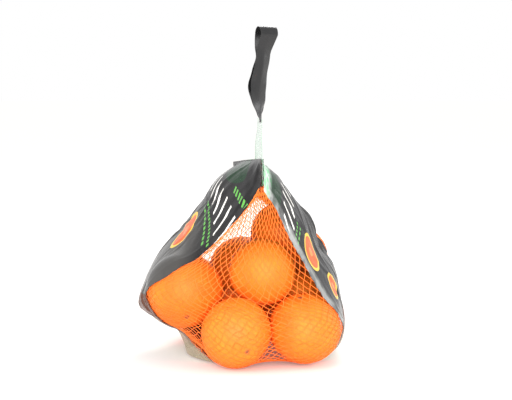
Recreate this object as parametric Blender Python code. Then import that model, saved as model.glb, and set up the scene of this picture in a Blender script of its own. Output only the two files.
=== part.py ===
"""A net of oranges: the fruit as its net shows it, two printed film panels, a clear top seal and a strap handle.

Metres, +Z up. The film panels face -X and +X, the net shows on the -Y and +Y sides, and the bag
rests on a flat base. Every sheet is a grid of points that is drawn tight over the fruit inside it.
"""

import math

import bmesh
import bpy
import numpy as np

MM = 0.001

# The fruit that gives the bag its form: x, y, z and radius of each orange, in mm.
ORANGES = {
    "upper_front": (22, -47, 98, 36.3),
    "lower_front": (-6, -80, 38, 36.9),
    "right_front": (67, -63, 40, 38.2),
    "left": (-62, -45, 77.5, 40.1),
    "top": (44.5, 12, 133.5, 35.2),
    "upper_back": (-1, 47, 87.5, 38.1),
    "right": (65, 11, 55, 36.8),
    "middle": (-9, -7, 38, 36.5),
    "left_back": (-74, 32, 63, 37.0),
    "right_back": (64, 71, 99, 34.0),
    "lower_back": (38, 81, 38, 36.4),
    "back_left": (-36, 83, 34, 33.2),
}

# Lines that each sheet follows, from the top seal down to the floor, in mm. A film panel runs between
# its near and far edges over its middle line, and the net runs between the edges of the two panels.
LEFT_NEAR = (
    (21, -72, 222), (21, -74, 191), (-7, -72, 155), (-46, -66, 116), (-79, -76, 96),
    (-102, -58, 77), (-91, -60, 56), (-69, -54, 41), (-50, -54, 19), (-31, -56, 1.5),
)
LEFT_MIDDLE = (
    (9, -6, 217), (-26, -5, 197), (-43, -5, 167), (-64, -6, 137), (-95, -6, 107),
    (-116, -6, 62), (-104, -2, 46), (-75, 0, 32), (-66, -1, 14), (-62, -4, 1.5),
)
LEFT_FAR = (
    (-10, 50, 212), (-9, 55, 186), (-40, 54, 163), (-68, 56, 136), (-93, 60, 105),
    (-105, 58, 71), (-97, 52, 46), (-76, 48, 29), (-60, 47, 13), (-44, 46, 1.5),
)
RIGHT_NEAR = (
    (22, -72, 222), (22, -74, 191), (35, -71, 169), (50, -66, 137), (64, -68, 112),
    (83, -76, 79), (106, -66, 47), (106, -52, 30), (99, -44, 13), (83, -38, 1.5),
)
RIGHT_MIDDLE = (
    (10, -11, 217), (28, -11, 208), (43, -11, 193), (68, -8, 157), (82, -1, 122),
    (102, 4, 93), (109, 4, 62), (113, 4, 34), (106, -1, 11), (89, -6, 1.5),
)
RIGHT_FAR = (
    (-9, 50, 212), (-8, 55, 186), (18, 58, 168), (50, 60, 144), (81, 62, 116),
    (100, 64, 86), (106, 60, 54), (105, 54, 29), (97, 46, 11), (80, 42, 1.5),
)

CENTRE = (0.315, -0.152, 0.0)   # moves the whole bag so that its origin is under the middle of its box

ROWS = 34            # points down each sheet
FILM_COLUMNS = 12    # points across a film panel
NET_COLUMNS = 24     # points across the net of one side
NET_BULGE = 75.0     # how far out of the bag the net starts before it is drawn in
NET_CLEAR = 0.8      # from the fruit to the net's outer face
PRESS_STEPS = 15     # the open mesh shows the fruit behind it, so the heap's sides are pressed in
PRESS_STEP = 1.9     # between the oranges by this much a step
PRESS_EASE = 3.5     # and less towards the panels' edges, the lower this is
PRESS_SETTLE = 4     # rounds of smoothing after it
FILM_GAP = 0.3       # between the net envelope and a film panel
FILM_THICK = 0.8
RIDGE_HALF = 0.8     # half the width of the ridge between the two panels' top edges
BASE_INSET = 4.0     # from the films' lower ends in to the flat base

SEAL_THICK = 0.8
SEAL_NEAR, SEAL_FAR = -82.0, -34.0   # the clear top seal's ends along Y
SEAL_TAIL_FAR = -76.4                # the tail in front of the panels ends here
SEAL_TOP = 264.0
SEAL_TAIL_LOW = 194.0
SEAL_X, SEAL_LEAN = 20.6, 0.14        # where it stands at the strap, and how it runs off to the left
SEAL_GAP = 0.5                       # above the ridge
SEAL_WAVE = 0.8

STRAP_WIDE = 20.0
STRAP_THICK = 0.8
STRAP_LOW = 256.0
STRAP_Y = -62.0
STRAP_LOOP = 8.6                     # how high the loop at the top rises, to the middle of the strap
STRAP_LINE = (                       # height, x of the strap's middle, half gap of the legs, turn in degrees
    (256.0, 20.6, 1.2, -8.0),
    (264.0, 20.6, 1.2, -8.0),
    (272.0, 19.4, 1.2, 10.0),
    (284.0, 16.8, 2.2, 34.0),
    (298.0, 16.2, 3.4, 52.0),
    (312.0, 18.8, 2.6, 48.0),
    (326.0, 21.6, 1.9, 44.0),
    (338.0, 22.6, 2.6, 52.0),
    (352.0, 26.0, 7.0, 62.0),
)

COLOURS = {
    "net_of_oranges": (0.92, 0.36, 0.06, 1.0),
    "film_left": (0.10, 0.10, 0.11, 1.0),
    "film_right": (0.14, 0.14, 0.15, 1.0),
    "top_seal": (0.72, 0.86, 0.76, 1.0),
    "handle_strap": (0.03, 0.03, 0.035, 1.0),
}


def smooth_line(points, count):
    """Points on a smooth curve through the given ones, which keep their even places along it."""
    p = np.array(points, float)
    p = np.vstack([2 * p[0] - p[1], p, 2 * p[-1] - p[-2]])
    at = np.linspace(0, len(points) - 1, count)
    i = np.minimum(at.astype(int), len(points) - 2)
    t = (at - i)[:, None]
    a, b, c, d = p[i], p[i + 1], p[i + 2], p[i + 3]
    return 0.5 * (2 * b + (c - a) * t + (2 * a - 5 * b + 4 * c - d) * t**2 + (3 * b - a - 3 * c + d) * t**3)


def out_of_fruit(points, clear):
    """The points with those inside an orange moved out to its skin and a little more."""
    for x, y, z, radius in ORANGES.values():
        away = points - (x, y, z)
        far = np.maximum(np.linalg.norm(away, axis=-1, keepdims=True), 1e-6)
        points = np.where(far < radius + clear, (x, y, z) + away / far * (radius + clear), points)
    return points


def drawn_tight(grid, held, rounds, clear, low):
    """A sheet whose free points are drawn to the mean of their neighbours, over the fruit and the floor."""
    for _ in range(rounds):
        near = np.pad(grid, ((1, 1), (1, 1), (0, 0)), mode="edge")
        mean = (near[:-2, 1:-1] + near[2:, 1:-1] + near[1:-1, :-2] + near[1:-1, 2:]) / 4
        moved = out_of_fruit(np.where(held[..., None], grid, mean), clear)
        moved[..., 2] = np.maximum(moved[..., 2], low)
        grid = np.where(held[..., None], grid, moved)
    return grid


def film_sheet(near, middle, far, columns, rows):
    """A film panel: a smooth sweep over its three lines, kept outside the fruit."""
    lines = [smooth_line(line, rows) for line in (near, middle, far)]
    s = np.linspace(-1, 1, columns)[None, :, None]
    a, b, c = (line[:, None, :] for line in lines)
    grid = a * s * (s - 1) / 2 + b * (1 - s * s) + c * s * (s + 1) / 2
    grid = out_of_fruit(grid, NET_CLEAR)
    held = np.zeros(grid.shape[:2], bool)
    held[0] = held[-1] = held[:, 0] = held[:, -1] = True
    return drawn_tight(grid, held, 6, NET_CLEAR, 1.5)


def net_sheet(start, end, columns, outward, clear, rounds):
    """The net of one side, from the edge of one panel to the edge of the other, drawn in over the fruit."""
    s = np.linspace(0, 1, columns)[None, :, None]
    rows = len(start)
    v = np.linspace(0, 1, rows)
    swell = np.sin(np.pi * np.clip((v - 0.14) / 0.86, 0, 1)) ** 0.5 * NET_BULGE
    grid = start[:, None] * (1 - s) + end[:, None] * s
    grid[..., 1] += outward * swell[:, None] * np.sin(np.pi * s[..., 0]) ** 0.5
    held = np.zeros(grid.shape[:2], bool)
    held[:, 0] = held[:, -1] = held[-1] = True
    held[:2 + rows // 9] = True
    grid = drawn_tight(grid, held, rounds, clear, 0.0)
    return grid


def pressed_in(grid, outward):
    """A side of the heap as it shows through the open net: its sheet pressed in between the oranges."""
    held = np.zeros(grid.shape[:2], bool)
    held[:, 0] = held[:, -1] = held[-1] = True
    held[:2 + len(grid) // 9] = True
    across = np.linspace(0, 1, grid.shape[1])
    share = np.minimum(1, PRESS_EASE * across * (1 - across))
    for _ in range(PRESS_STEPS):
        pushed = grid.copy()
        pushed[..., 1] -= np.where(held, 0, outward * PRESS_STEP * share)
        grid = drawn_tight(pushed, held, 1, NET_CLEAR, 0.0)
    return drawn_tight(grid, held, PRESS_SETTLE, NET_CLEAR, 0.0)


def sheet_normals(grid):
    """The direction out of a sheet at each of its points, which is left of its rows seen from above."""
    down = np.gradient(grid, axis=0)
    along = np.gradient(grid, axis=1)
    n = np.cross(down, along)
    return n / np.maximum(np.linalg.norm(n, axis=-1, keepdims=True), 1e-9)


def envelope_sheets(rows, film_columns, net_columns, rounds):
    """The four sheets of the bag as grids of rows from the top down, each running the same way round it."""
    left = film_sheet(LEFT_FAR, LEFT_MIDDLE, LEFT_NEAR, film_columns, rows)
    right = film_sheet(RIGHT_NEAR, RIGHT_MIDDLE, RIGHT_FAR, film_columns, rows)
    for sheet, side in ((left, -1), (right, 1)):
        ridge = sheet[0].copy()
        sheet[0, :, 0] = ridge_x(ridge[:, 1]) + side * RIDGE_HALF
        for row in range(1, 1 + rows // 9):
            keep = ridge_x(sheet[row, :, 1]) + side * RIDGE_HALF
            sheet[row, :, 0] = np.where(side * (sheet[row, :, 0] - keep) < 0, keep, sheet[row, :, 0])
    near = net_sheet(left[:, -1], right[:, 0], net_columns, -1, NET_CLEAR, rounds)
    far = net_sheet(right[:, -1], left[:, 0], net_columns, 1, NET_CLEAR, rounds)
    return pressed_in(near, -1), right, pressed_in(far, 1), left


def ridge_x(y):
    """Where the top seam runs: from the near end on the right to the far end on the left."""
    t = np.clip((np.asarray(y, float) + 74) / 124, 0, 1)
    return 21.5 - 31 * t**1.25


def mesh_object(name, points, faces, collection):
    mesh = bpy.data.meshes.new(name)
    mesh.from_pydata([tuple((p + c) * MM for p, c in zip(point, CENTRE)) for point in points], [], faces)
    build = bmesh.new()
    build.from_mesh(mesh)
    bmesh.ops.remove_doubles(build, verts=build.verts, dist=1e-6)
    bmesh.ops.dissolve_degenerate(build, edges=build.edges, dist=1e-6)
    bmesh.ops.recalc_face_normals(build, faces=build.faces)
    bmesh.ops.triangulate(build, faces=build.faces)
    build.to_mesh(mesh)
    build.free()
    obj = bpy.data.objects.new(name, mesh)
    collection.objects.link(obj)
    material = bpy.data.materials.new(name)
    material.use_nodes = True
    material.node_tree.nodes["Principled BSDF"].inputs["Base Color"].default_value = COLOURS[name]
    material.diffuse_color = COLOURS[name]
    mesh.materials.append(material)
    return obj


def envelope(sheets, collection):
    """The closed solid inside the net and the film, with a narrow ridge on top and a flat base."""
    near, right, far, left = sheets
    ring = np.concatenate([near[:, :-1], right[:, :-1], far[:, :-1], left[:, :-1]], axis=1)
    base = ring[-1].copy()
    centre = base.mean(axis=0)
    inward = centre - base
    inward /= np.linalg.norm(inward, axis=1, keepdims=True)
    base += inward * BASE_INSET
    base[:, 2] = 0
    ring = np.concatenate([ring, base[None]])
    rows, around = ring.shape[:2]
    points = ring.reshape(-1, 3)
    faces = [
        (r * around + c, r * around + (c + 1) % around, (r + 1) * around + (c + 1) % around, (r + 1) * around + c)
        for r in range(rows - 1) for c in range(around)
    ]
    net, film = near.shape[1] - 1, right.shape[1] - 1
    right_at = [net + c for c in range(film + 1)]
    left_at = [(net + film + net + film - c) % around for c in range(film + 1)]
    faces += [(right_at[c], left_at[c], left_at[c + 1], right_at[c + 1]) for c in range(film)]
    faces.append(tuple(range(net + 1)))
    faces.append(tuple(net + film + c for c in range(net + 1)))
    faces.append(tuple((rows - 1) * around + c for c in range(around)))
    return mesh_object("net_of_oranges", points, faces, collection)


def thick_sheet(name, grid, collection):
    """A film panel as a thin solid, outside the envelope by a small gap."""
    out = sheet_normals(grid)
    inner, outer = grid + out * FILM_GAP, grid + out * (FILM_GAP + FILM_THICK)
    inner[..., 2] = np.maximum(inner[..., 2], 0.7)
    outer[..., 2] = np.maximum(outer[..., 2], 0.05)
    return slab(name, inner, outer, collection)


def slab(name, inner, outer, collection):
    rows, columns = inner.shape[:2]
    points = np.concatenate([inner.reshape(-1, 3), outer.reshape(-1, 3)])
    half = rows * columns
    at = lambda r, c, side: side * half + r * columns + c
    faces = []
    for r in range(rows - 1):
        for c in range(columns - 1):
            faces.append((at(r, c, 0), at(r, c + 1, 0), at(r + 1, c + 1, 0), at(r + 1, c, 0)))
            faces.append((at(r, c, 1), at(r + 1, c, 1), at(r + 1, c + 1, 1), at(r, c + 1, 1)))
    edge = [(0, c) for c in range(columns)] + [(r, columns - 1) for r in range(1, rows)]
    edge += [(rows - 1, c) for c in range(columns - 2, -1, -1)] + [(r, 0) for r in range(rows - 2, 0, -1)]
    for (r0, c0), (r1, c1) in zip(edge, edge[1:] + edge[:1]):
        faces.append((at(r0, c0, 0), at(r0, c0, 1), at(r1, c1, 1), at(r1, c1, 0)))
    return mesh_object(name, points, faces, collection)


def top_seal(collection):
    """The clear strip that stands on the ridge, with a tail down the near end of the panels."""
    def face(side):
        columns = np.concatenate([
            np.linspace(SEAL_NEAR, SEAL_TAIL_FAR, 3), np.linspace(SEAL_TAIL_FAR + 0.3, SEAL_FAR, 8)])
        grid = np.zeros((9, len(columns), 3))
        for c, y in enumerate(columns):
            low = SEAL_TAIL_LOW if y <= SEAL_TAIL_FAR + 0.01 else seal_low(y)
            for r, z in enumerate(np.linspace(SEAL_TOP, low, 9)):
                grid[r, c] = (seal_x(y, z) + side * SEAL_THICK / 2, y, z)
        return grid
    return face(-1), face(1)


def seal_low(y):
    return float(np.interp(y, (-74, -11), (222.0, 218.0))) + SEAL_GAP + 1.2


def seal_x(y, z):
    up = min(max(z - 225, 0) / 29, 1)
    wave = SEAL_WAVE * 4 * up * (1 - up) * math.sin(y * 0.16 + z * 0.07)
    return float(ridge_x(y)) * (1 - up) + (SEAL_X - SEAL_LEAN * (y - STRAP_Y)) * up + wave


def strap(collection):
    """The handle: a flat strap up one face of the top seal, round a loop and down the other face."""
    line = smooth_line([(z, x, gap, turn) for z, x, gap, turn in STRAP_LINE], 26)
    stations = []
    for z, x, gap, turn in line:
        a = math.radians(turn)
        wide = np.array((math.sin(a), math.cos(a), 0))
        out = np.array((math.cos(a), -math.sin(a), 0))
        stations.append((np.array((x, STRAP_Y, z)), wide, out, gap))
    path = [(middle + out * gap, wide) for middle, wide, out, gap in stations]
    middle, wide, out, gap = stations[-1]
    for k in range(1, 12):
        a = math.pi * k / 12
        path.append((middle + out * gap * math.cos(a) + np.array((0, 0, STRAP_LOOP * math.sin(a))), wide))
    path += [(m - o * g, w) for m, w, o, g in reversed(stations)]
    centres = np.array([p for p, _ in path])
    widths = np.array([w for _, w in path])
    along = np.gradient(centres, axis=0)
    along /= np.linalg.norm(along, axis=1, keepdims=True)
    widths -= along * (widths * along).sum(axis=1, keepdims=True)
    widths /= np.linalg.norm(widths, axis=1, keepdims=True)
    normal = np.cross(along, widths)
    across = np.linspace(-0.5, 0.5, 4)[None, :, None] * STRAP_WIDE
    sheet = centres[:, None] + widths[:, None] * across
    step = normal[:, None] * STRAP_THICK / 2
    return slab("handle_strap", sheet - step, sheet + step, collection)


def main():
    for obj in list(bpy.data.objects):
        bpy.data.objects.remove(obj)
    collection = bpy.data.collections.new("net_of_oranges")
    bpy.context.scene.collection.children.link(collection)
    sheets = envelope_sheets(ROWS, FILM_COLUMNS, NET_COLUMNS, 420)
    envelope(sheets, collection)
    thick_sheet("film_right", sheets[1], collection)
    thick_sheet("film_left", sheets[3], collection)
    inner, outer = top_seal(collection)
    slab("top_seal", inner, outer, collection)
    strap(collection)


main()
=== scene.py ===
"""A net of oranges, dressed for render: loose fruit in a knotted net, with two printed film panels, a clear top
seal and a black strap handle. Sizes are in millimetres inside the functions and in metres on the objects."""

import math

import bpy
import numpy as np
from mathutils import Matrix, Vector


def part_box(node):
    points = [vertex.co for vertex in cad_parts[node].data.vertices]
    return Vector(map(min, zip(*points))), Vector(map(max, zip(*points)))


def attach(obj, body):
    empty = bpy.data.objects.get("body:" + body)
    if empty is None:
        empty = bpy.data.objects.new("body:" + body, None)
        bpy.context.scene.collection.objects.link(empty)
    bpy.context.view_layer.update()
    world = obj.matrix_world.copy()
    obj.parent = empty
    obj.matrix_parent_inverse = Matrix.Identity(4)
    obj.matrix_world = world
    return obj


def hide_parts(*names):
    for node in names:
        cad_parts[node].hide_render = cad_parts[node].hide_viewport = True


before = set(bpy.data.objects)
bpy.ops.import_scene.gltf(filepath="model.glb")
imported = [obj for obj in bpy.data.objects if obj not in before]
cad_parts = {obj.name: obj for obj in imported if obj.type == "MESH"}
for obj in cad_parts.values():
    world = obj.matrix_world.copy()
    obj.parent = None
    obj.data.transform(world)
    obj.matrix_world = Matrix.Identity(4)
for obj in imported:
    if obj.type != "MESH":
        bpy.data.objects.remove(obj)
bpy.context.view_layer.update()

bl_info = {
    "name": "Net of oranges",
    "version": (1, 0, 0),
    "blender": (4, 5, 0),
    "location": "3D View > Sidebar > Net of oranges",
    "description": "Builds the fruit, net, film, seal and strap of a retail net of oranges",
    "category": "Add Mesh",
}

MM = 0.001
CENTRE = np.array((0.315, -0.152, 0.0))   # the same move as the solids have

# x, y, z and radius of each orange in mm, the way its stem end points, and how flat it is from end to end.
ORANGES = {
    "upper_front": (22, -47, 98, 36.3, (0.5, 0.6, 0.62), 0.035),
    "lower_front": (-6, -80, 38, 36.9, (0.34, -0.85, -0.40), 0.030),
    "right_front": (67, -63, 40, 38.2, (-0.15, -0.30, 0.94), 0.045),
    "left": (-62, -45, 77.5, 40.1, (0.10, -0.78, -0.62), 0.050),
    "top": (44.5, 12, 133.5, 35.2, (0.2, 0.9, 0.3), 0.030),
    "upper_back": (-1, 47, 87.5, 38.1, (0.1, 0.95, 0.25), 0.040),
    "right": (65, 11, 55, 36.8, (0.9, 0.1, 0.4), 0.030),
    "middle": (-9, -7, 38, 36.5, (0.1, 0.2, 0.9), 0.030),
    "left_back": (-74, 32, 63, 37.0, (-0.3, 0.85, 0.4), 0.045),
    "right_back": (64, 71, 99, 34.0, (0.3, 0.9, -0.3), 0.030),
    "lower_back": (38, 81, 38, 36.4, (-0.4, 0.85, 0.3), 0.035),
    "back_left": (-36, 83, 34, 33.2, (-0.5, 0.8, 0.3), 0.030),
}

# The lines that each sheet follows from the top seal down to the floor, in mm.
LEFT_NEAR = (
    (21, -72, 222), (21, -74, 191), (-7, -72, 155), (-46, -66, 116), (-79, -76, 96),
    (-102, -58, 77), (-91, -60, 56), (-69, -54, 41), (-50, -54, 19), (-31, -56, 1.5),
)
LEFT_MIDDLE = (
    (9, -6, 217), (-26, -5, 197), (-43, -5, 167), (-64, -6, 137), (-95, -6, 107),
    (-116, -6, 62), (-104, -2, 46), (-75, 0, 32), (-66, -1, 14), (-62, -4, 1.5),
)
LEFT_FAR = (
    (-10, 50, 212), (-9, 55, 186), (-40, 54, 163), (-68, 56, 136), (-93, 60, 105),
    (-105, 58, 71), (-97, 52, 46), (-76, 48, 29), (-60, 47, 13), (-44, 46, 1.5),
)
RIGHT_NEAR = (
    (22, -72, 222), (22, -74, 191), (35, -71, 169), (50, -66, 137), (64, -68, 112),
    (83, -76, 79), (106, -66, 47), (106, -52, 30), (99, -44, 13), (83, -38, 1.5),
)
RIGHT_MIDDLE = (
    (10, -11, 217), (28, -11, 208), (43, -11, 193), (68, -8, 157), (82, -1, 122),
    (102, 4, 93), (109, 4, 62), (113, 4, 34), (106, -1, 11), (89, -6, 1.5),
)
RIGHT_FAR = (
    (-9, 50, 212), (-8, 55, 186), (18, 58, 168), (50, 60, 144), (81, 62, 116),
    (100, 64, 86), (106, 60, 54), (105, 54, 29), (97, 46, 11), (80, 42, 1.5),
)
STRAP_LINE = (     # height, x of the strap's middle, half gap of the legs, turn in degrees
    (260.0, 19.4, 0.7, -4.0), (265.0, 19.2, 0.8, 4.0), (272.0, 18.4, 1.2, 20.0), (284.0, 16.8, 2.2, 42.0),
    (298.0, 16.2, 3.4, 52.0), (312.0, 18.8, 2.6, 48.0), (326.0, 21.6, 1.9, 44.0), (338.0, 22.6, 2.6, 52.0),
    (352.0, 26.0, 7.0, 62.0),
)
RIDGE_HALF = 0.8
SEAL_TAIL_FAR = -76.4                 # the seal's tail hangs down between its near end and here
NET_BULGE = 75.0
FILM_WIDE, FILM_TALL = 140.0, 275.0   # a panel laid flat
PRINT_SLANT = 0.5                     # how far the print climbs towards a panel's far edge
CLEAR_LINE = {"film_left": (154.0, 0.23), "film_right": (192.0, 0.15)}   # where the print ends, and its slope


def metres(name, what, default_mm):
    return bpy.props.FloatProperty(name=name, description=what, default=default_mm * MM, unit="LENGTH", precision=5)


def colour(name, what, default_hex):
    return bpy.props.StringProperty(name=name, description=what + ", as an sRGB hex value", default=default_hex)


class FruitSettings(bpy.types.PropertyGroup):
    segments: bpy.props.IntProperty(name="Segments", description="Faces round one orange", default=88)
    pore: metres("Pore spacing", "Distance between oil glands in the peel", 1.9)
    peel: colour("Peel", "Ripe orange peel", "#FE801A")
    peel_deep: colour("Deep peel", "Redder patches of the peel", "#F56712")
    peel_light: colour("Light peel", "Yellower patches of the peel", "#FF9930")
    scar: colour("Stem scar", "Dry grey-brown scar at the stem end", "#8A5638")


class NetSettings(bpy.types.PropertyGroup):
    columns: bpy.props.IntProperty(name="Columns", description="Meshes across one side of the net", default=24)
    side: metres("Mesh side", "Length of a strand from knot to knot", 6.6)
    strand: metres("Strand radius", "Radius of one strand", 0.34)
    strand_hex: colour("Strand", "Orange polyethylene strand", "#FD883A")


class FilmSettings(bpy.types.PropertyGroup):
    thick: metres("Thickness", "Thickness of the film as drawn", 0.25)
    ink: colour("Film ink", "Near-black ink of the panel", "#1B1A1B")
    # painted sheen: a grey ink low on the left panel stands in for the film's grey shine
    ink_and_painted_sheen_low: colour("Low painted sheen", "Grey painted sheen low on the left panel", "#454341")
    # partly painted sheen: the grey weld margin is the unprinted hem and also stands in for the silver shine along the
    # weld
    hem_and_sheen: colour("Hem and sheen", "Unprinted weld margin of the right panel, grey partly as painted sheen", "#8F918F")
    bars: colour("Bars", "White bars of the print", "#F4F1EA")
    green: colour("Green", "Green dashes of the print", "#5FA84A")
    deep_green: colour("Deep green", "Dark green field of the print", "#12301C")
    slice_hex: colour("Slice", "Orange-red disc of the print", "#E8602C")
    rim: colour("Rim", "Yellow rim of the disc", "#E9C04A")
    smoke: colour("Smoke", "Unprinted lower film with a brown tint", "#5B2E21")
    # painted shade: a darker copy of the smoky film tint, for the sheet behind the lower left net
    painted_shade_brown: colour("Painted shade film", "Darker brown film tint, painted shade behind the net", "#340E04")
    gloss: bpy.props.FloatProperty(name="Gloss", description="Strength of the film's shine", default=0.30,
                                   subtype="FACTOR")


class TopSettings(bpy.types.PropertyGroup):
    seal_hex: colour("Seal", "Clear film of the top seal", "#C9DACF")
    seal_green: colour("Seal green", "Green ink on the top seal", "#2F9A55")
    strap_wide: metres("Strap width", "Width of the strap", 20.0)
    strap_hex: colour("Strap", "Black polyethylene strap", "#161617")


def linear(hex_value):
    """An sRGB hex value as linear red, green, blue and alpha."""
    parts = [int(hex_value[i:i + 2], 16) / 255 for i in (1, 3, 5)]
    return [p / 12.92 if p <= 0.04045 else ((p + 0.055) / 1.055) ** 2.4 for p in parts] + [1.0]


def node(tree, kind, inputs=None, **settings):
    """Adds a shader node, sets it up and links or fills its inputs."""
    made = tree.nodes.new(kind)
    for key, value in settings.items():
        setattr(made, key, value)
    for key, value in (inputs or {}).items():
        if isinstance(value, bpy.types.NodeSocket):
            tree.links.new(value, made.inputs[key])
        else:
            made.inputs[key].default_value = value
    return made


def new_material(name):
    material = bpy.data.materials.new(name)
    material.use_nodes = True
    material.node_tree.nodes.clear()
    return material, material.node_tree


# ---------------------------------------------------------------- forms

def smooth_line(points, count):
    """Points on a smooth curve through the given ones, which keep their even places along it."""
    p = np.array(points, float)
    p = np.vstack([2 * p[0] - p[1], p, 2 * p[-1] - p[-2]])
    at = np.linspace(0, len(points) - 1, count)
    i = np.minimum(at.astype(int), len(points) - 2)
    t = (at - i)[:, None]
    a, b, c, d = p[i], p[i + 1], p[i + 2], p[i + 3]
    return 0.5 * (2 * b + (c - a) * t + (2 * a - 5 * b + 4 * c - d) * t**2 + (3 * b - a - 3 * c + d) * t**3)


def fruit_frames():
    """Each orange as its middle, radius, stem direction, flatness and the directions of its few broad lumps."""
    chance = np.random.default_rng(11)
    frames = []
    for x, y, z, radius, stem, flat in ORANGES.values():
        stem = np.array(stem, float) / np.linalg.norm(stem)
        lumps = chance.normal(size=(5, 3))
        frames.append((np.array((x, y, z), float), radius, stem, flat, lumps, chance.uniform(0, 6.28, 5)))
    return frames


FRUIT = fruit_frames()


def skin(direction, fruit):
    """How far an orange's skin is from its middle in each direction, in mm."""
    _, radius, stem, flat, lumps, start = fruit
    along = direction @ stem
    far = radius * (1 + flat * 0.33 - flat * along**2)
    for lump, phase in zip(lumps, start):
        far = far + radius * 0.0035 * np.sin(2.1 * (direction @ lump) + phase)
    return far


def out_of_fruit(points, clear):
    """The points with those inside an orange moved out to its skin and a little more."""
    for fruit in FRUIT:
        middle, radius = fruit[0], fruit[1]
        away = points - middle
        far = np.linalg.norm(away, axis=-1)
        near = far < radius * 1.04 + clear
        if not near.any():
            continue
        direction = away[near] / np.maximum(far[near], 1e-6)[:, None]
        edge = skin(direction, fruit) + clear
        points = points.copy()
        points[near] = np.where((far[near] < edge)[:, None], middle + direction * edge[:, None], points[near])
    return points


def drawn_tight(grid, held, rounds, clear, low):
    """A sheet whose free points are drawn to the mean of their neighbours, over the fruit and the floor."""
    for _ in range(rounds):
        near = np.pad(grid, ((1, 1), (1, 1), (0, 0)), mode="edge")
        mean = (near[:-2, 1:-1] + near[2:, 1:-1] + near[1:-1, :-2] + near[1:-1, 2:]) / 4
        moved = out_of_fruit(np.where(held[..., None], grid, mean), clear)
        moved[..., 2] = np.maximum(moved[..., 2], low)
        grid = np.where(held[..., None], grid, moved)
    return grid


def at_places(grid, down, across):
    """Points of a sheet at fractional rows and columns."""
    rows, columns = grid.shape[:2]
    r, c = np.clip(down, 0, 1) * (rows - 1), np.clip(across, 0, 1) * (columns - 1)
    i, j = np.minimum(r.astype(int), rows - 2), np.minimum(c.astype(int), columns - 2)
    a, b = (r - i)[..., None], (c - j)[..., None]
    return ((grid[i, j] * (1 - b) + grid[i, j + 1] * b) * (1 - a)
            + (grid[i + 1, j] * (1 - b) + grid[i + 1, j + 1] * b) * a)


def finer(grid, rows, columns):
    v, u = np.meshgrid(np.linspace(0, 1, rows), np.linspace(0, 1, columns), indexing="ij")
    return at_places(grid, v, u)


def ridge_x(y):
    """Where the top seal runs: from the near end on the right to the far end on the left."""
    t = np.clip((np.asarray(y, float) + 74) / 124, 0, 1)
    return 21.5 - 31 * t**1.25


def film_sheet(near, middle, far, columns, rows, side):
    """A film panel: a smooth sweep over its three lines, kept outside the fruit."""
    lines = [smooth_line(line, rows) for line in (near, middle, far)]
    s = np.linspace(-1, 1, columns)[None, :, None]
    a, b, c = (line[:, None, :] for line in lines)
    grid = a * s * (s - 1) / 2 + b * (1 - s * s) + c * s * (s + 1) / 2
    grid = out_of_fruit(grid, 0.8)
    held = np.zeros(grid.shape[:2], bool)
    held[0] = held[-1] = held[:, 0] = held[:, -1] = True
    grid = drawn_tight(grid, held, 24, 0.8, 1.5)
    grid[0, :, 0] = ridge_x(grid[0, :, 1]) + side * RIDGE_HALF
    for row in range(1, 1 + rows // 9):
        keep = ridge_x(grid[row, :, 1]) + side * RIDGE_HALF
        grid[row, :, 0] = np.where(side * (grid[row, :, 0] - keep) < 0, keep, grid[row, :, 0])
    return grid


def net_sheet(start, end, outward, clear):
    """The net of one side as a taut sheet, drawn in over the fruit on a coarse grid and then on finer ones."""
    rows, columns, total = 34, 20, len(start)
    pick = np.linspace(0, total - 1, rows)
    first = np.stack([np.interp(pick, range(total), start[:, k]) for k in range(3)], 1)
    last = np.stack([np.interp(pick, range(total), end[:, k]) for k in range(3)], 1)
    s = np.linspace(0, 1, columns)[None, :, None]
    swell = np.sin(np.pi * np.clip((np.linspace(0, 1, rows) - 0.14) / 0.86, 0, 1)) ** 0.5 * NET_BULGE
    grid = first[:, None] * (1 - s) + last[:, None] * s
    grid[..., 1] += outward * swell[:, None] * np.sin(np.pi * s[..., 0]) ** 0.5
    for size, rounds in (((34, 20), 420), ((67, 40), 160), ((total, 80), 90)):
        grid = finer(grid, *size)
        if size[0] == total:
            grid[:, 0], grid[:, -1] = start, end
        held = np.zeros(size, bool)
        held[:, 0] = held[:, -1] = held[-1] = True
        held[:1 + size[0] // 9] = True
        grid = drawn_tight(grid, held, rounds, clear, 0.0)
    return grid


def sheet_normals(grid):
    down, along = np.gradient(grid, axis=0), np.gradient(grid, axis=1)
    n = np.cross(down, along)
    return n / np.maximum(np.linalg.norm(n, axis=-1, keepdims=True), 1e-9)


SHEETS = {}


def sheets():
    """The bag's four sheets, made once: near net, right panel, far net and left panel, from the top down."""
    if not SHEETS:
        rows = 133
        left = film_sheet(LEFT_FAR, LEFT_MIDDLE, LEFT_NEAR, 60, rows, -1)
        right = film_sheet(RIGHT_NEAR, RIGHT_MIDDLE, RIGHT_FAR, 60, rows, 1)
        SHEETS.update(left=left, right=right,
                      near=net_sheet(left[:, -1], right[:, 0], -1, 0.7),
                      far=net_sheet(right[:, -1], left[:, 0], 1, 0.7))
    return SHEETS


# ---------------------------------------------------------------- mesh helpers

def primitive(operator, name, **settings):
    """Adds a primitive with nothing else selected and names it."""
    bpy.ops.object.select_all(action="DESELECT")
    operator(**settings)
    made = bpy.context.active_object
    made.name = made.data.name = name
    return made


def unit_places(obj):
    """Each vertex of a grid one unit wide, as its share across and its share down."""
    co = np.zeros(len(obj.data.vertices) * 3)
    obj.data.vertices.foreach_get("co", co)
    co = co.reshape(-1, 3)
    return np.clip(co[:, 0] + 0.5, 0, 1), np.clip(0.5 - co[:, 1], 0, 1)


def place(obj, points):
    """Moves every vertex to its point, given in mm in the solids' frame."""
    obj.data.vertices.foreach_set("co", ((points + CENTRE) * MM).astype(np.float32).ravel())
    obj.data.update()


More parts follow.
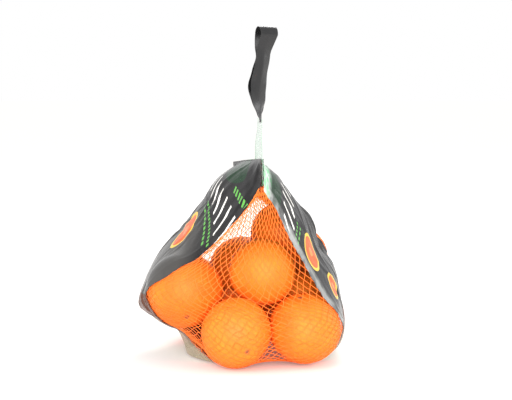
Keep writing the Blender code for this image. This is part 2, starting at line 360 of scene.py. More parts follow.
def map_panel(obj, u, v):
    """Gives every vertex its place on the panel as a UV map."""
    layer = obj.data.uv_layers.active or obj.data.uv_layers.new()
    layer.name = "panel"
    loops = np.zeros(len(obj.data.loops), int)
    obj.data.loops.foreach_get("vertex_index", loops)
    layer.data.foreach_set("uv", np.stack([u, v], 1)[loops].astype(np.float32).ravel())


def only(obj):
    bpy.ops.object.select_all(action="DESELECT")
    obj.select_set(True)
    bpy.context.view_layer.objects.active = obj


def finish_piece(obj, material, node_name, angle=60):
    only(obj)
    bpy.ops.object.shade_smooth_by_angle(angle=math.radians(angle))
    obj.data.materials.clear()
    obj.data.materials.append(material)
    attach(obj, "root")
    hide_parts(node_name)


def apply_modifiers(obj):
    only(obj)
    for modifier in list(obj.modifiers):
        bpy.ops.object.modifier_apply(modifier=modifier.name)


# ---------------------------------------------------------------- materials

def peel_material(scene):
    """Waxed orange peel: oil glands give a fine dimpled gloss over a mottled, slightly translucent orange."""
    cfg = scene.bag_fruit
    material, tree = new_material("waxed_orange_peel")
    place_at = node(tree, "ShaderNodeTexCoord").outputs["Object"]
    mottle = node(tree, "ShaderNodeTexNoise", {"Vector": place_at, "Scale": 1 / 0.022, "Detail": 3.0, "Roughness": 0.6})
    broad = node(tree, "ShaderNodeMapRange", {"Value": mottle.outputs["Fac"], 1: 0.35, 2: 0.68})
    tone = node(tree, "ShaderNodeAttribute", attribute_name="fruit_tone")
    warm = node(tree, "ShaderNodeMix", {"Factor": broad.outputs[0], "A": linear(cfg.peel_deep), "B": linear(cfg.peel)},
                data_type="RGBA")
    light = node(tree, "ShaderNodeMix", {"Factor": tone.outputs["Fac"], "A": warm.outputs["Result"],
                                         "B": linear(cfg.peel_light)}, data_type="RGBA")
    glands = node(tree, "ShaderNodeTexVoronoi", {"Vector": place_at, "Scale": 1 / cfg.pore, "Randomness": 0.85},
                  feature="SMOOTH_F1")
    pit = node(tree, "ShaderNodeMapRange", {"Value": glands.outputs["Distance"], 1: 0.10, 2: 0.55})
    speck = node(tree, "ShaderNodeMath", {0: 1.0, 1: pit.outputs[0]}, operation="SUBTRACT")
    speck_share = node(tree, "ShaderNodeMath", {0: speck.outputs[0], 1: 0.22}, operation="MULTIPLY")
    dotted = node(tree, "ShaderNodeMix", {"Factor": speck_share.outputs[0], "A": light.outputs["Result"],
                                          "B": linear(cfg.peel_deep)}, data_type="RGBA")
    scar = node(tree, "ShaderNodeAttribute", attribute_name="stem_scar")
    scarred = node(tree, "ShaderNodeMix", {"Factor": scar.outputs["Fac"], "A": dotted.outputs["Result"],
                                           "B": linear(cfg.scar)}, data_type="RGBA")
    fine = node(tree, "ShaderNodeTexNoise", {"Vector": place_at, "Scale": 1 / 0.006, "Detail": 2.0})
    height = node(tree, "ShaderNodeMath", {0: pit.outputs[0], 1: fine.outputs["Fac"]}, operation="ADD")
    bump = node(tree, "ShaderNodeBump", {"Height": height.outputs[0], "Strength": 0.55, "Distance": 0.00035})
    rough = node(tree, "ShaderNodeMapRange", {"Value": mottle.outputs["Fac"], 1: 0.3, 2: 0.7, 3: 0.50, 4: 0.62})
    shader = node(tree, "ShaderNodeBsdfPrincipled", {
        "Base Color": scarred.outputs["Result"], "Roughness": rough.outputs[0], "Normal": bump.outputs[0],
        "IOR": 1.45, "Specular IOR Level": 0.4, "Subsurface Weight": 0.25, "Subsurface Scale": 0.006})
    shader.inputs["Subsurface Radius"].default_value = (1.0, 0.35, 0.08)
    node(tree, "ShaderNodeOutputMaterial", {"Surface": shader.outputs[0]})
    return material


def strand_material(scene):
    """Orange polyethylene monofilament: a plain satin plastic, a little lighter than the peel under it."""
    cfg = scene.bag_net
    material, tree = new_material("extruded_polyethylene_net")
    place_at = node(tree, "ShaderNodeTexCoord").outputs["Object"]
    worn = node(tree, "ShaderNodeTexNoise", {"Vector": place_at, "Scale": 1 / 0.012, "Detail": 2.0})
    tone = node(tree, "ShaderNodeMix", {"Factor": worn.outputs["Fac"], "A": linear("#F97628"),
                                        "B": linear(cfg.strand_hex)}, data_type="RGBA")
    shader = node(tree, "ShaderNodeBsdfPrincipled", {"Base Color": tone.outputs["Result"], "Roughness": 0.55,
                                                     "IOR": 1.5, "Specular IOR Level": 0.25})
    node(tree, "ShaderNodeOutputMaterial", {"Surface": shader.outputs[0]})
    return material


def field(tree, place_at, middle, size, turn=0.0, round_ends=False):
    """A mask that is 1 inside a rectangle, or an ellipse, on the panel: middle and half size in mm."""
    local = node(tree, "ShaderNodeMapping", {"Vector": place_at, "Location": (*middle, 0), "Scale": (*size, 1),
                                             "Rotation": (0, 0, math.radians(turn))}, vector_type="TEXTURE")
    if round_ends:
        far = node(tree, "ShaderNodeVectorMath", {0: local.outputs[0]}, operation="LENGTH").outputs["Value"]
    else:
        flat = node(tree, "ShaderNodeVectorMath", {0: local.outputs[0]}, operation="ABSOLUTE")
        xyz = node(tree, "ShaderNodeSeparateXYZ", {0: flat.outputs[0]})
        far = node(tree, "ShaderNodeMath", {0: xyz.outputs[0], 1: xyz.outputs[1]}, operation="MAXIMUM").outputs[0]
    return node(tree, "ShaderNodeMath", {0: far, 1: 1.0}, operation="LESS_THAN").outputs[0]


def repeats(tree, value, period, share):
    """A mask of stripes: 1 over a share of each period along value."""
    wave = node(tree, "ShaderNodeMath", {0: value, 1: period}, operation="DIVIDE")
    wave = node(tree, "ShaderNodeMath", {0: wave.outputs[0]}, operation="FRACT")
    return node(tree, "ShaderNodeMath", {0: wave.outputs[0], 1: share}, operation="LESS_THAN").outputs[0]


def both(tree, a, b):
    return node(tree, "ShaderNodeMath", {0: a, 1: b}, operation="MULTIPLY").outputs[0]


def film_material(scene, name, move, discs, pale_top, ink_and_painted_sheen_low):
    """Printed polyethylene film: thin, glossy and slightly wrinkled, near-black with plain bars, dashes and discs.
    The UV map holds millimetres / 100: across from the near edge, and down the print."""
    cfg = scene.bag_film
    material, tree = new_material(name)
    uv = node(tree, "ShaderNodeUVMap", uv_map="panel").outputs[0]
    mm = node(tree, "ShaderNodeVectorMath", {0: uv, "Scale": 100.0}, operation="SCALE").outputs[0]
    mm = node(tree, "ShaderNodeVectorMath", {0: mm, 1: (*move, 0.0)}, operation="ADD").outputs[0]
    xyz = node(tree, "ShaderNodeSeparateXYZ", {0: mm})
    x, y = xyz.outputs[0], xyz.outputs[1]
    slant = node(tree, "ShaderNodeMath", {0: y, 1: 0.35, 2: x}, operation="MULTIPLY_ADD").outputs[0]
    # painted sheen: lower down the panel the ink fades to the given low colour, which on the left panel is a grey
    # painted sheen
    thin = node(tree, "ShaderNodeMapRange", {"Value": y, 1: 92.0, 2: 112.0, 3: 0.0, 4: 1.0}).outputs[0]
    colour_at = node(tree, "ShaderNodeMix", {"Factor": thin, "A": linear(cfg.ink), "B": linear(ink_and_painted_sheen_low)},
                     data_type="RGBA").outputs["Result"]

    def paint(mask, tint):
        nonlocal colour_at
        colour_at = node(tree, "ShaderNodeMix", {"Factor": mask, "A": colour_at, "B": tint},
                         data_type="RGBA").outputs["Result"]

    paint(field(tree, mm, (50, 40), (30, 14), 12, True), linear(cfg.deep_green))
    paint(both(tree, field(tree, mm, (14, 50), (12, 2.6)), repeats(tree, slant, 4.5, 0.5)), linear(cfg.green))
    paint(both(tree, field(tree, mm, (41, 70), (42, 10)), repeats(tree, slant, 12.0, 0.22)), linear(cfg.bars))
    paint(both(tree, field(tree, mm, (31, 85), (28, 1.1)), repeats(tree, x, 4.0, 0.55)), linear(cfg.green))
    paint(both(tree, field(tree, mm, (35, 91), (24, 1.1)), repeats(tree, x, 5.6, 0.65)), linear(cfg.green))
    for middle, radius in discs:
        paint(field(tree, mm, middle, (radius, radius), 0, True), linear(cfg.rim))
        paint(field(tree, mm, middle, (radius - 2.4, radius - 2.4), 0, True), linear(cfg.slice_hex))
        paint(field(tree, mm, middle, (radius * 0.25, radius * 0.25), 0, True), linear("#F08A4E"))
    if pale_top:
        # the grey band along the right panel's weld: the unprinted hem, with painted sheen in its noisy patches
        from_weld = node(tree, "ShaderNodeMapRange", {"Value": x, 1: move[0] + 11.0, 2: move[0] + 6.0}).outputs[0]
        patches = node(tree, "ShaderNodeTexNoise", {"Vector": mm, "Scale": 0.06, "Detail": 2.0})
        hem_sheen_share = node(tree, "ShaderNodeMapRange", {"Value": patches.outputs["Fac"], 1: 0.40, 2: 0.54, 3: 0.2})
        paint(both(tree, from_weld, hem_sheen_share.outputs[0]), linear(cfg.hem_and_sheen))
        top = node(tree, "ShaderNodeMapRange", {"Value": y, 1: pale_top, 2: pale_top - 14.0}).outputs[0]
        cloud = node(tree, "ShaderNodeTexNoise", {"Vector": mm, "Scale": 0.09, "Detail": 2.0})
        green_share = node(tree, "ShaderNodeMapRange", {"Value": cloud.outputs["Fac"], 1: 0.46, 2: 0.56})
        pale = node(tree, "ShaderNodeMix", {"Factor": green_share.outputs[0], "A": linear("#C9D0CB"),
                                            "B": linear("#86C796")}, data_type="RGBA")
        paint(top, pale.outputs["Result"])
    crumple = node(tree, "ShaderNodeTexNoise", {"Vector": mm, "Scale": 0.11, "Detail": 2.0, "Roughness": 0.5,
                                                "Distortion": 0.6})
    bump = node(tree, "ShaderNodeBump", {"Height": crumple.outputs["Fac"], "Strength": 0.4, "Distance": 0.0012})
    shader = node(tree, "ShaderNodeBsdfPrincipled", {
        "Base Color": colour_at, "Roughness": 0.24, "IOR": 1.5, "Specular IOR Level": cfg.gloss,
        "Normal": bump.outputs[0]})
    node(tree, "ShaderNodeOutputMaterial", {"Surface": shader.outputs[0]})
    return material


def clear_film_material(scene, name, smoke):
    """Unprinted polyethylene film: see-through with a smoky brown tint, glossy, with soft creases."""
    material, tree = new_material(name)
    uv = node(tree, "ShaderNodeUVMap", uv_map="panel").outputs[0]
    cloud = node(tree, "ShaderNodeTexNoise", {"Vector": uv, "Scale": 5.0, "Detail": 1.0, "Distortion": 0.5})
    down = node(tree, "ShaderNodeSeparateXYZ", {0: uv}).outputs[1]
    low = node(tree, "ShaderNodeMapRange", {"Value": down, 1: 2.2, 2: 2.6, 3: 0.04, 4: 0.85}).outputs[0]
    tint = node(tree, "ShaderNodeMix", {"Factor": low, "A": linear(smoke),
                                        "B": linear("#CFC9A8")}, data_type="RGBA")
    alpha = node(tree, "ShaderNodeMapRange", {"Value": down, 1: 1.9, 2: 2.5, 3: 0.86, 4: 0.45})
    bump = node(tree, "ShaderNodeBump", {"Height": cloud.outputs["Fac"], "Strength": 0.4, "Distance": 0.0012})
    shader = node(tree, "ShaderNodeBsdfPrincipled", {
        "Base Color": tint.outputs["Result"], "Roughness": 0.25, "IOR": 1.5, "Specular IOR Level": 0.12,
        "Alpha": alpha.outputs[0], "Normal": bump.outputs[0]})
    node(tree, "ShaderNodeOutputMaterial", {"Surface": shader.outputs[0]})
    return material


def seal_material(scene):
    """Clear film with flecks of green ink: mostly see-through, whitish where the light catches its creases."""
    cfg = scene.bag_top
    material, tree = new_material("clear_sealed_film")
    place_at = node(tree, "ShaderNodeTexCoord").outputs["Object"]
    flecks = node(tree, "ShaderNodeTexNoise", {"Vector": place_at, "Scale": 1 / 0.007, "Detail": 1.0})
    green = node(tree, "ShaderNodeMapRange", {"Value": flecks.outputs["Fac"], 1: 0.53, 2: 0.60})
    height = node(tree, "ShaderNodeSeparateXYZ", {0: place_at}).outputs[2]
    low = node(tree, "ShaderNodeMapRange", {"Value": height, 1: 0.228, 2: 0.208, 3: 0.0, 4: 1.0})
    depth = node(tree, "ShaderNodeSeparateXYZ", {0: place_at}).outputs[1]
    from_middle = node(tree, "ShaderNodeMath", {0: depth, 1: 0.0581}, operation="ADD").outputs[0]
    from_middle = node(tree, "ShaderNodeMath", {0: from_middle}, operation="ABSOLUTE").outputs[0]
    edge = node(tree, "ShaderNodeMapRange", {"Value": from_middle, 1: 0.0200, 2: 0.0235, 3: 0.0, 4: 0.45}).outputs[0]
    share = node(tree, "ShaderNodeMath", {0: green.outputs[0], 1: low.outputs[0], 2: edge}, operation="MULTIPLY_ADD",
                 use_clamp=True)
    tint = node(tree, "ShaderNodeMix", {"Factor": share.outputs[0], "A": linear(cfg.seal_hex),
                                        "B": linear(cfg.seal_green)}, data_type="RGBA")
    alpha = node(tree, "ShaderNodeMapRange", {"Value": share.outputs[0], 3: 0.50, 4: 0.92})
    shader = node(tree, "ShaderNodeBsdfPrincipled", {
        "Base Color": tint.outputs["Result"], "Roughness": 0.22, "IOR": 1.5, "Alpha": alpha.outputs[0]})
    node(tree, "ShaderNodeOutputMaterial", {"Surface": shader.outputs[0]})
    return material


def strap_material(scene):
    """Black polyethylene strap: a soft sheen with faint lengthwise drawing lines."""
    cfg = scene.bag_top
    material, tree = new_material("drawn_polyethylene_strap")
    uv = node(tree, "ShaderNodeUVMap", uv_map="panel").outputs[0]
    stretched = node(tree, "ShaderNodeMapping", {"Vector": uv, "Scale": (24.0, 6.0, 1.0)})
    lines = node(tree, "ShaderNodeTexNoise", {"Vector": stretched.outputs[0], "Scale": 1.0, "Detail": 2.0})
    bump = node(tree, "ShaderNodeBump", {"Height": lines.outputs["Fac"], "Strength": 0.4, "Distance": 0.0001})
    rough = node(tree, "ShaderNodeMapRange", {"Value": lines.outputs["Fac"], 3: 0.26, 4: 0.42})
    shader = node(tree, "ShaderNodeBsdfPrincipled", {
        "Base Color": linear(cfg.strap_hex), "Roughness": rough.outputs[0], "IOR": 1.5, "Normal": bump.outputs[0]})
    node(tree, "ShaderNodeOutputMaterial", {"Surface": shader.outputs[0]})
    return material


# ---------------------------------------------------------------- operators

def stem_mark(away, stem, seed):
    """How deep the skin dips and how scarred it is near the stem end, by distance from it in mm."""
    flat = np.linalg.norm(away - (away @ stem)[:, None] * stem, axis=1)
    front = away @ stem > 0
    angle = np.arctan2(away @ np.cross(stem, (0.3, 0.2, 0.9)), away @ np.cross(stem, (0.9, 0.1, 0.2)))
    star = 1 + 0.18 * np.sin(5 * angle + seed)
    dip = 1.1 * np.exp(-(flat / 6.5) ** 2) - 0.9 * np.exp(-(flat / (2.4 * star)) ** 4)
    scar = np.clip(1.05 - (flat / (3.3 * star)) ** 3, 0, 0.95)
    return np.where(front, dip, 0), np.where(front, scar, 0)


class BAG_OT_oranges(bpy.types.Operator):
    """Turns and lays the twelve oranges, each uneven in its own way, with its stem scar"""
    bl_idname = "bag.oranges"
    bl_label = "Oranges"

    def execute(self, context):
        cfg = context.scene.bag_fruit
        made = []
        chance = np.random.default_rng(5)
        for seed, (name, fruit) in enumerate(zip(ORANGES, FRUIT)):
            middle, radius, stem, _, _, _ = fruit
            ball = primitive(bpy.ops.mesh.primitive_uv_sphere_add, "orange_" + name, radius=1.0,
                             segments=cfg.segments, ring_count=cfg.segments * 3 // 4)
            turn = Vector((0, 0, 1)).rotation_difference(Vector(stem)).to_matrix()
            co = np.zeros(len(ball.data.vertices) * 3)
            ball.data.vertices.foreach_get("co", co)
            direction = co.reshape(-1, 3) @ np.array(turn).T
            direction /= np.linalg.norm(direction, axis=1, keepdims=True)
            far = skin(direction, fruit)
            dip, scar = stem_mark(direction * far[:, None], stem, seed)
            back_dip, _ = stem_mark(direction * far[:, None], -stem, seed + 2.0)
            place(ball, middle + direction * (far - dip - 0.5 * np.maximum(back_dip, 0))[:, None])
            for key, values in (("stem_scar", scar), ("fruit_tone", np.full(len(scar), chance.uniform(0.1, 0.55)))):
                layer = ball.data.attributes.new(key, "FLOAT", "POINT")
                layer.data.foreach_set("value", values.astype(np.float32))
            made.append(ball)
        only(made[0])
        for ball in made:
            ball.select_set(True)
        bpy.ops.object.join()
        heap = context.active_object
        heap.name = heap.data.name = "oranges"
        finish_piece(heap, peel_material(context.scene), "net_of_oranges", 80)
        return {"FINISHED"}


def tucked(sheet, before, after, tuck=4):
    """A net's sheet with a strip on each side that runs on under the film's welds."""
    return np.concatenate([before[:, -1 - tuck:-1], sheet, after[:, 1:1 + tuck]], axis=1)


def base_sheet(near, far):
    """The net under the fruit, flat on the floor between the foot of the near net and that of the far net."""
    share = np.linspace(0, 1, 60)[:, None, None]
    return near[None, -1] * (1 - share) + far[None, -1, ::-1] * share


def net_piece(context, name, wide, first, seed, columns):
    """A net: a grid poked into diamonds, laid on its sheet and made into knotted strands."""
    cfg = context.scene.bag_net
    side = cfg.side / MM
    steps = np.linalg.norm(np.diff(wide, axis=1), axis=2)
    reach = np.concatenate([np.zeros((len(wide), 1)), np.cumsum(steps, axis=1)], axis=1)
    count = 90
    even = np.stack([[np.interp(np.linspace(0, row[-1], count), row, line[:, k]) for k in range(3)]
                     for row, line in zip(reach, wide)]).transpose(0, 2, 1)
    width = reach[:, -1]
    step = np.linalg.norm(np.diff(even, axis=0), axis=2)[:, count // 5:-count // 5].mean(axis=1)
    cell_wide = np.minimum(width / columns, 1.85 * side)
    cell_tall = 2 * np.sqrt(side**2 - (cell_wide / 2) ** 2)
    needed = np.concatenate([[0.0], np.cumsum(step[first:] / cell_tall[first:-1])])
    rows = int(round(needed[-1]))
    grid = primitive(bpy.ops.mesh.primitive_grid_add, name, x_subdivisions=columns, y_subdivisions=rows, size=1)
    bpy.ops.object.mode_set(mode="EDIT")
    bpy.ops.mesh.select_all(action="SELECT")
    bpy.ops.mesh.poke()
    bpy.ops.object.mode_set(mode="OBJECT")
    mesh = grid.data
    places = np.array([v.co for v in mesh.vertices])
    for edge in mesh.edges:
        a, b = places[edge.vertices[0]], places[edge.vertices[1]]
        edge.select = bool(abs(a[0] - b[0]) < 1e-5 or abs(a[1] - b[1]) < 1e-5)
    for face in mesh.polygons:
        face.select = False
    for vertex in mesh.vertices:
        vertex.select = False
    bpy.ops.object.mode_set(mode="EDIT")
    bpy.ops.mesh.select_mode(type="EDGE")
    bpy.ops.mesh.delete(type="EDGE")
    bpy.ops.mesh.select_all(action="SELECT")
    bpy.ops.mesh.subdivide(number_cuts=1)
    bpy.ops.mesh.select_mode(type="VERT")
    bpy.ops.object.mode_set(mode="OBJECT")
    across, down = unit_places(grid)
    chance = np.random.default_rng(seed)
    sway = np.zeros((2, len(across)))
    for k in range(7):
        a, b, c, d = chance.uniform(-1, 1, 4)
        wave = np.sin(9 * a * across * (k + 1) * 0.6 + 11 * b * down * (k + 1) * 0.6 + 6.28 * c)
        sway[0] += d * wave
        sway[1] += a * wave
    inside = np.sin(np.pi * across) * np.clip(down * 6, 0, 1)
    knot = chance.normal(size=(2, len(across))) * 0.04
    cell_s, cell_t = 1 / columns, 1 / rows
    across = across + (sway[0] * 0.14 + knot[0]) * cell_s * inside
    down = np.clip(down + (sway[1] * 0.14 + knot[1]) * cell_t * inside, 0, 1)
    row_at = np.interp(down * needed[-1], needed, np.arange(first, len(even)) / (len(even) - 1))
    points = at_places(even, row_at, across)
    points = out_of_fruit(points, cfg.strand / MM + 0.08)
    points[:, 2] = np.maximum(points[:, 2], cfg.strand / MM + 0.05)
    place(grid, points)
    only(grid)
    bpy.ops.object.convert(target="CURVE")
    curve = context.active_object
    curve.data.bevel_depth = cfg.strand
    curve.data.bevel_resolution = 0
    curve.data.use_fill_caps = True
    bpy.ops.object.convert(target="MESH")
    net = context.active_object
    net.name = net.data.name = name
    return net


class BAG_OT_net(bpy.types.Operator):
    """Knots the near and the far net from diamond meshes and draws them tight over the fruit"""
    bl_idname = "bag.net"
    bl_label = "Net"

    def execute(self, context):
        made = sheets()
        material = strand_material(context.scene)
        near, right, far, left = (made[key] for key in ("near", "right", "far", "left"))
        apex = len(near) // 9
        all_over = context.scene.bag_net.columns
        for name, sheet, first, seed, columns in (
                ("net_front", tucked(near, left, right), apex, 3, all_over),
                ("net_back", tucked(far, right, left), apex, 8, all_over),
                ("net_base", base_sheet(near, far), 0, 14, all_over)):
            net = net_piece(context, name, sheet, first, seed, columns)
            finish_piece(net, material, "net_of_oranges", 80)
        return {"FINISHED"}


def crumples(x, y, seed, count, tall, long_share):
    """Soft creases on a film panel: ridges along chosen lines, mostly down the panel, in mm."""
    chance = np.random.default_rng(seed)
    height = np.zeros_like(x)
    for _ in range(count):
        cx, cy = chance.uniform(5, 135), chance.uniform(0, 230)
        turn = chance.normal(math.pi / 2, 0.35) if chance.random() < long_share else chance.uniform(0, math.pi)
        length, wide = chance.uniform(18, 60), chance.uniform(1.6, 4.5)
        along = (x - cx) * math.cos(turn) + (y - cy) * math.sin(turn)
        aside = -(x - cx) * math.sin(turn) + (y - cy) * math.cos(turn)
        aside = aside + 0.004 * chance.normal() * along**2
        height += chance.uniform(0.35, 1.0) * tall * np.exp(-(along / length) ** 2) * (
            np.exp(-(aside / wide) ** 2) - 0.5 * np.exp(-((aside - 1.8 * wide) / wide) ** 2))
    return height


def film_piece(context, name, sheet, near_last, seed, folds, part, material, cad_node):
    """A film panel laid on its sheet, with pleats along its welded edges and creases over the rest.
    The part is the print above the panel's clear line, or the clear film below it."""
    cfg = context.scene.bag_film
    line, slope = CLEAR_LINE[cad_node]
    printed = part == "print"
    grid = primitive(bpy.ops.mesh.primitive_grid_add, name, x_subdivisions=110,
                     y_subdivisions=150 if printed else 90, size=1)
    across, share = unit_places(grid)
    from_near = (1 - across) if near_last else across
    x = from_near * FILM_WIDE
    cut = (line - slope * x) / FILM_TALL
    down = share * cut if printed else cut + share * (1 - cut)
    base = at_places(sheet, down, across)
    out = at_places(sheet_normals(sheet), down, across)
    out /= np.linalg.norm(out, axis=1, keepdims=True)
    y = down * FILM_TALL
    far_x = FILM_WIDE - x
    height = crumples(x, y, seed, *folds)
    for edge in (x, far_x):
        band = np.exp(-(edge / 6.0) ** 2)
        height += band * (0.30 * np.sin(y * 0.62 + 2.2 * np.sin(y * 0.05)) + 0.15 * np.sin(y * 1.7 + 0.6))
        height += 0.45 * np.exp(-((edge - 9.0) / 1.2) ** 2)
    height *= np.clip(y / 12, 0.15, 1) * np.clip((FILM_TALL - y) / 12, 0, 1)
    points = base + out * (0.95 + np.clip(height, -0.6, 4.0))[:, None]
    points = out_of_fruit(points, 1.3)
    points[:, 2] = np.maximum(points[:, 2], 0.5)
    place(grid, points)
    map_panel(grid, x / 100, (y + PRINT_SLANT * x) / 100)
    solid = grid.modifiers.new("film", "SOLIDIFY")
    solid.thickness, solid.offset = cfg.thick, 0.0
    apply_modifiers(grid)
    finish_piece(grid, material, cad_node, 70)
    return grid


def painted_shade_sheet(context, name, sheet, material, cad_node):
    """The foot of the side film, which turns in behind the slack net between two oranges, dark brown as painted shade:
    a sheet put there to darken the gap seen through the net.
    """
    grid = primitive(bpy.ops.mesh.primitive_grid_add, name, x_subdivisions=30, y_subdivisions=60, size=1)
    across, down = unit_places(grid)
    weld = at_places(sheet, 0.66 + 0.33 * down, np.full(len(down), 0.99))
    wave = 1.5 * np.sin(9 * down + 4 * across) * across
    points = weld + np.stack([22 * across, 4 + 17 * across + wave, 3 * across], 1)
    points[:, 2] = np.maximum(points[:, 2], 0.6)
    place(grid, out_of_fruit(points, 0.6))
    map_panel(grid, across, 1.7 + 0.2 * down)
    solid = grid.modifiers.new("film", "SOLIDIFY")
    solid.thickness, solid.offset = context.scene.bag_film.thick, 0.0
    apply_modifiers(grid)
    finish_piece(grid, material, cad_node, 70)


class BAG_OT_film(bpy.types.Operator):
    """Lays the two printed film panels with their pleated welds and creases, and the clear film below the print"""
    bl_idname = "bag.film"
    bl_label = "Film panels"

    def execute(self, context):
        made = sheets()
        clear = clear_film_material(context.scene, "clear_polyethylene_film", context.scene.bag_film.smoke)
        cfg = context.scene.bag_film
        # the left panel's low colour is a grey painted sheen; the right panel keeps its ink
        for side, near_last, seed, folds, move, discs, pale, lower_ink_and_sheen in (
                ("left", True, 21, (30, 1.0, 0.6), (0.0, 0.0), (((66, 122), 17),), 0.0, cfg.ink_and_painted_sheen_low),
                ("right", False, 34, (22, 0.9, 0.9), (32.0, -17.0), (((60, 118), 16), ((66, 160), 11)), 34.0,
                 cfg.ink)):
            printed = film_material(context.scene, "printed_film_" + side, move, discs, pale, lower_ink_and_sheen)
            film_piece(context, "printed_film_" + side, made[side], near_last, seed, folds, "print", printed,
                       "film_" + side)
            film_piece(context, "clear_film_" + side, made[side], near_last, seed, folds, "clear", clear,
                       "film_" + side)
        # painted shade: the clear film in a darker brown, laid behind the net where the inside of the bag is in shade
        painted_shade_brown = clear_film_material(context.scene, "painted_shade_film", cfg.painted_shade_brown)
        painted_shade_sheet(context, "painted_shade_sheet_left", made["left"], painted_shade_brown, "film_left")
        return {"FINISHED"}


def seal_x(y, z):
    up = np.clip((z - 225) / 29, 0, 1)
    wave = 3.2 * up * (1 - up) * np.sin(y * 0.16 + z * 0.07)
    return ridge_x(y) * (1 - up) + (19.4 - 0.10 * (y + 62)) * up + wave


class BAG_OT_seal(bpy.types.Operator):
    """Stands the clear seal strip on the ridge, with its tail down the near end"""
    bl_idname = "bag.seal"
    bl_label = "Top seal"

    def execute(self, context):
        low_corner, high_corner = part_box("top_seal")
        grid = primitive(bpy.ops.mesh.primitive_grid_add, "clear_top_seal", x_subdivisions=96, y_subdivisions=60,
                         size=1)
        across, down = unit_places(grid)
        near, far = low_corner.y / MM - CENTRE[1], high_corner.y / MM - CENTRE[1]
        top = min(high_corner.z / MM, STRAP_LINE[1][0])
        y = near + across * (far - near)
        foot = np.where(y < SEAL_TAIL_FAR, low_corner.z / MM, np.interp(y, (-74, -11), (221.0, 216.5)))
        z = top + down * (foot - top)
        place(grid, np.stack([seal_x(y, z), y, z], 1))
        solid = grid.modifiers.new("film", "SOLIDIFY")
        solid.thickness, solid.offset = 0.0003, 0.0
        apply_modifiers(grid)
        finish_piece(grid, seal_material(context.scene), "top_seal", 70)
        return {"FINISHED"}


class BAG_OT_strap(bpy.types.Operator):
    """Loops the flat strap from one face of the seal to the other"""
    bl_idname = "bag.strap"
    bl_label = "Strap handle"

    def execute(self, context):
        wide = context.scene.bag_top.strap_wide / MM
        line = smooth_line([(z, x, gap, turn) for z, x, gap, turn in STRAP_LINE], 60)
        legs = []
        for z, x, gap, turn in line:
            a = math.radians(turn)
            legs.append((np.array((x, -62.0, z)), np.array((math.sin(a), math.cos(a), 0)),
                         np.array((math.cos(a), -math.sin(a), 0)), gap))
        path = [(m + o * g, w) for m, w, o, g in legs]
        middle, across_way, out, gap = legs[-1]
        for k in range(1, 28):
            a = math.pi * k / 28
            path.append((middle + out * gap * math.cos(a) + np.array((0, 0, 8.6 * math.sin(a))), across_way))
        path += [(m - o * g, w) for m, w, o, g in reversed(legs)]
        centres, widths = np.array([p for p, _ in path]), np.array([w for _, w in path])
        along = np.gradient(centres, axis=0)
        along /= np.linalg.norm(along, axis=1, keepdims=True)
        widths -= along * (widths * along).sum(axis=1, keepdims=True)
        widths /= np.linalg.norm(widths, axis=1, keepdims=True)
        face_out = np.cross(along, widths)
        grid = primitive(bpy.ops.mesh.primitive_grid_add, "looped_strap", x_subdivisions=12,
                         y_subdivisions=len(path) - 1, size=1)
        across, down = unit_places(grid)
        at = down * (len(path) - 1)
        pick = lambda values: np.stack([np.interp(at, range(len(path)), values[:, k]) for k in range(3)], 1)
        s = across - 0.5
        fold = 1.0 + 0.5 * np.sin(at * 0.21)
        cup = fold * (1.9 * np.abs(2 * s) ** 1.15 - 0.7) + 0.35 * np.sin(at * 0.55) * np.sign(s) * s**2 * 4
        calm = np.clip(np.minimum(at, len(path) - 1 - at) / 14, 0, 1)
        loop = np.exp(-((at / (len(path) - 1) - 0.5) / 0.13) ** 4)
        cup *= calm * (1 - 0.9 * loop)
        points = pick(centres) + pick(widths) * (s * wide)[:, None] + pick(face_out) * cup[:, None]
        place(grid, points)
        map_panel(grid, across, down * 4)
        solid = grid.modifiers.new("strap", "SOLIDIFY")
        solid.thickness, solid.offset = 0.00045, 0.0
        apply_modifiers(grid)
        finish_piece(grid, strap_material(context.scene), "handle_strap", 50)
        return {"FINISHED"}


def area_light(name, where, aim, size, power, tint="#FFFFFF"):
    bpy.ops.object.light_add(type="AREA", location=where)
    lamp = bpy.context.active_object
    lamp.name = name
    lamp.data.shape, lamp.data.size, lamp.data.size_y = "RECTANGLE", size[0], size[1]
    lamp.data.energy, lamp.data.color = power, linear(tint)[:3]
    lamp.rotation_euler = (Vector(aim) - Vector(where)).to_track_quat("-Z", "Y").to_euler()
    return lamp


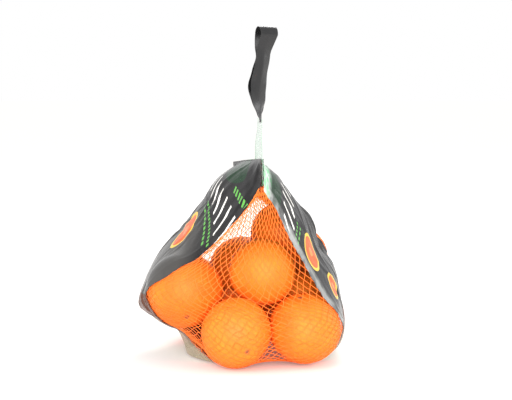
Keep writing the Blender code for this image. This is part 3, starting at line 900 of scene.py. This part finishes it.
class BAG_OT_stage(bpy.types.Operator):
    """Sets the pale floor, the soft lights and the camera"""
    bl_idname = "bag.stage"
    bl_label = "Stage"

    def execute(self, context):
        scene = context.scene
        floor = primitive(bpy.ops.mesh.primitive_plane_add, "pale_floor", size=60)
        material, tree = new_material("pale_matt_floor")
        shader = node(tree, "ShaderNodeBsdfPrincipled", {"Base Color": linear("#F4F2F0"), "Roughness": 0.7,
                                                         "Specular IOR Level": 0.0, "Emission Strength": 0.12,
                                                         "Emission Color": (1, 1, 1, 1)})
        node(tree, "ShaderNodeOutputMaterial", {"Surface": shader.outputs[0]})
        floor.data.materials.append(material)
        world = bpy.data.worlds.new("studio")
        world.use_nodes = True
        world.node_tree.nodes["Background"].inputs["Color"].default_value = (1, 1, 1, 1)
        world.node_tree.nodes["Background"].inputs["Strength"].default_value = 1.0
        scene.world = world
        area_light("key", (-0.9, -1.3, 1.4), (0, 0, 0.1), (0.8, 0.8), 6)
        area_light("front", (0.1, -2.2, 0.55), (0, 0, 0.1), (1.1, 1.1), 42)
        area_light("back", (0.5, 1.9, 1.7), (0, 0, 0.1), (0.9, 0.9), 22)
        area_light("right", (2.1, 0.3, 0.9), (0, 0, 0.1), (1.0, 1.0), 12)
        area_light("left", (-2.1, 0.3, 0.9), (0, 0, 0.1), (1.4, 1.4), 3)
        lens = bpy.data.cameras.new("camera")
        lens.lens, lens.sensor_width, lens.clip_start, lens.clip_end = 89.5, 36.0, 0.05, 30
        camera = bpy.data.objects.new("camera", lens)
        scene.collection.objects.link(camera)
        tilt = math.radians(5.0)
        aim = Vector((0.0152, -0.0161, 0.1735))
        camera.location = aim + Vector((0, -math.cos(tilt), math.sin(tilt))) * 1.4
        camera.rotation_euler = (aim - camera.location).to_track_quat("-Z", "Y").to_euler()
        scene.camera = camera
        scene.view_settings.view_transform = "Standard"
        scene.view_settings.look = "None"
        return {"FINISHED"}


class BAG_PT_panel(bpy.types.Panel):
    """Lists the net of oranges' pieces and their settings"""
    bl_idname = "BAG_PT_panel"
    bl_label = "Net of oranges"
    bl_space_type = "VIEW_3D"
    bl_region_type = "UI"
    bl_category = "Net of oranges"

    def draw(self, context):
        for group in (context.scene.bag_fruit, context.scene.bag_net, context.scene.bag_film, context.scene.bag_top):
            for key in group.__annotations__:
                self.layout.prop(group, key)
        for operator in OPERATORS:
            self.layout.operator(operator.bl_idname)


GROUPS = {"bag_fruit": FruitSettings, "bag_net": NetSettings, "bag_film": FilmSettings, "bag_top": TopSettings}
OPERATORS = (BAG_OT_oranges, BAG_OT_net, BAG_OT_film, BAG_OT_seal, BAG_OT_strap, BAG_OT_stage)


def register():
    for made in (*GROUPS.values(), *OPERATORS, BAG_PT_panel):
        bpy.utils.register_class(made)
    for name, group in GROUPS.items():
        setattr(bpy.types.Scene, name, bpy.props.PointerProperty(type=group))


def unregister():
    for name in GROUPS:
        delattr(bpy.types.Scene, name)
    for made in (BAG_PT_panel, *reversed(OPERATORS), *GROUPS.values()):
        bpy.utils.unregister_class(made)


def main():
    register()
    for step in (bpy.ops.bag.stage, bpy.ops.bag.oranges, bpy.ops.bag.net, bpy.ops.bag.film, bpy.ops.bag.seal,
                 bpy.ops.bag.strap):
        step()


if __name__ == "__main__":
    main()
